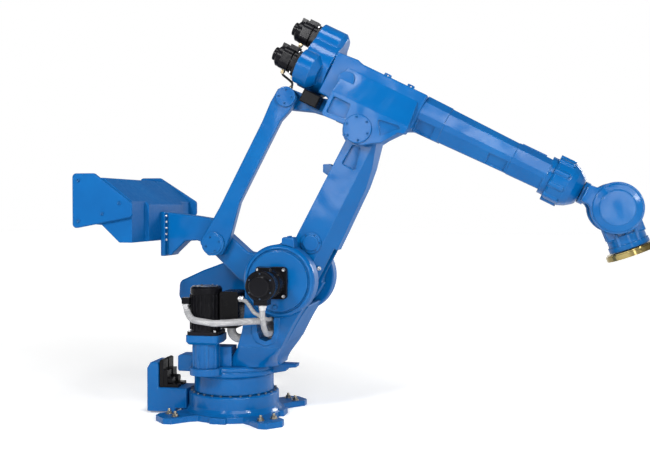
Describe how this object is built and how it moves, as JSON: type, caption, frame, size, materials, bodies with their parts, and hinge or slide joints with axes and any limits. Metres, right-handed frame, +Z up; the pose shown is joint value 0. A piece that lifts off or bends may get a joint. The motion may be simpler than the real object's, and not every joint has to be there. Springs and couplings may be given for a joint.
{
  "type": "industrial robot arm",
  "caption": "Floor-standing articulated robot arm with a swivel base, parallel-link elbow drive, rear counterweight, long forearm and a bending wrist with tool flange.",
  "frame": {"origin": "on the floor, on the swivel axis, at the centre of the foot bolt pattern", "axes": "+X the way the arm reaches, +Y to its left, +Z up"},
  "size_m": [3.7568, 1.352, 2.7385],
  "materials": {
    "blue_casting": "gloss blue enamel on cast iron",
    "black_motor": "black painted aluminium motor housing",
    "black_plastic": "matte black",
    "grey_sleeve": "woven grey-white cable sleeve",
    "black_cable": "black cable sheath",
    "plated_flange": "yellow passivated steel",
    "steel_pin": "ground steel"
  },
  "bodies": {
    "base": {"base_casting": "blue_casting", "connector_box": "blue_casting", "cable_sockets": "black_plastic"},
    "swivel": {"turntable": "blue_casting", "swivel_saddle": "blue_casting", "near_upright": "blue_casting", "far_upright": "blue_casting", "near_shoulder_housing": "blue_casting", "far_shoulder_housing": "blue_casting", "lower_arm_motor": "black_motor", "upper_arm_motor": "black_motor", "swivel_motor_column": "blue_casting", "swivel_motor": "black_motor", "swivel_terminal_box": "black_plastic", "stop_block": "blue_casting", "swivel_motor_sleeve": "grey_sleeve", "lower_arm_motor_sleeve": "grey_sleeve"},
    "lower_arm": {"lower_arm_casting": "blue_casting", "shoulder_shaft": "steel_pin", "lower_arm_cover": "blue_casting", "lower_arm_clip": "blue_casting"},
    "crank": {"crank_arm": "blue_casting", "lower_link_pin": "blue_casting", "counterweight_block": "blue_casting", "near_weight_plate": "blue_casting", "far_weight_plate": "blue_casting"},
    "link": {"parallel_link": "blue_casting"},
    "upper_arm": {"upper_arm_housing": "blue_casting", "elbow_pin": "steel_pin", "near_elbow_cover": "blue_casting", "far_elbow_cover": "blue_casting", "upper_link_pin": "blue_casting", "gear_case": "blue_casting", "roll_motor": "black_motor", "bend_motor": "black_motor", "twist_motor": "black_motor", "junction_box": "black_plastic", "forearm_tube": "blue_casting", "wrist_ring": "blue_casting", "lifting_eyes": "blue_casting", "wrist_motor_cable": "black_cable"},
    "wrist_roll": {"wrist_fork": "blue_casting", "near_bend_cover": "blue_casting", "far_bend_cover": "blue_casting"},
    "wrist_bend": {"bend_housing": "blue_casting"},
    "tool": {"tool_flange": "plated_flange"}
  },
  "joints": [
    {"name": "swivel_turn", "type": "hinge", "parent": "base", "child": "swivel", "pos_m": [0, 0, 0.3], "axis": [0, 0, 1], "range_deg": [-180, 180]},
    {"name": "shoulder", "type": "hinge", "parent": "swivel", "child": "lower_arm", "pos_m": [0.41, 0, 0.957], "axis": [0, 1, 0], "range_deg": [-30, 25]},
    {"name": "elbow", "type": "hinge", "parent": "lower_arm", "child": "upper_arm", "pos_m": [0.92634, 0, 1.95313], "axis": [0, -1, 0], "range_deg": [-40, 45]},
    {"name": "crank_turn", "type": "hinge", "parent": "lower_arm", "child": "crank", "pos_m": [0.41, 0, 0.957], "axis": [0, -1, 0], "range_deg": [-41, 46]},
    {"name": "link_turn", "type": "hinge", "parent": "crank", "child": "link", "pos_m": [-0.10099, 0, 1.19095], "axis": [0, -1, 0], "range_deg": [-46, 41]},
    {"name": "wrist_roll_turn", "type": "hinge", "parent": "upper_arm", "child": "wrist_roll", "pos_m": [2.34305, 0, 1.54506], "axis": [0.8934, 0, -0.4493], "range_deg": [-300, 300]},
    {"name": "wrist_bend_turn", "type": "hinge", "parent": "wrist_roll", "child": "wrist_bend", "pos_m": [2.55389, 0, 1.43902], "axis": [0, 1, 0], "range_deg": [-152, 68]},
    {"name": "tool_turn", "type": "hinge", "parent": "wrist_bend", "child": "tool", "pos_m": [2.66678, 0, 1.14495], "axis": [0.3584, 0, -0.9336], "range_deg": [-300, 300]}
  ],
  "couplings": [
    {"joint": "crank_turn", "follows": "elbow", "ratio": 1},
    {"joint": "link_turn", "follows": "elbow", "ratio": -1}
  ]
}
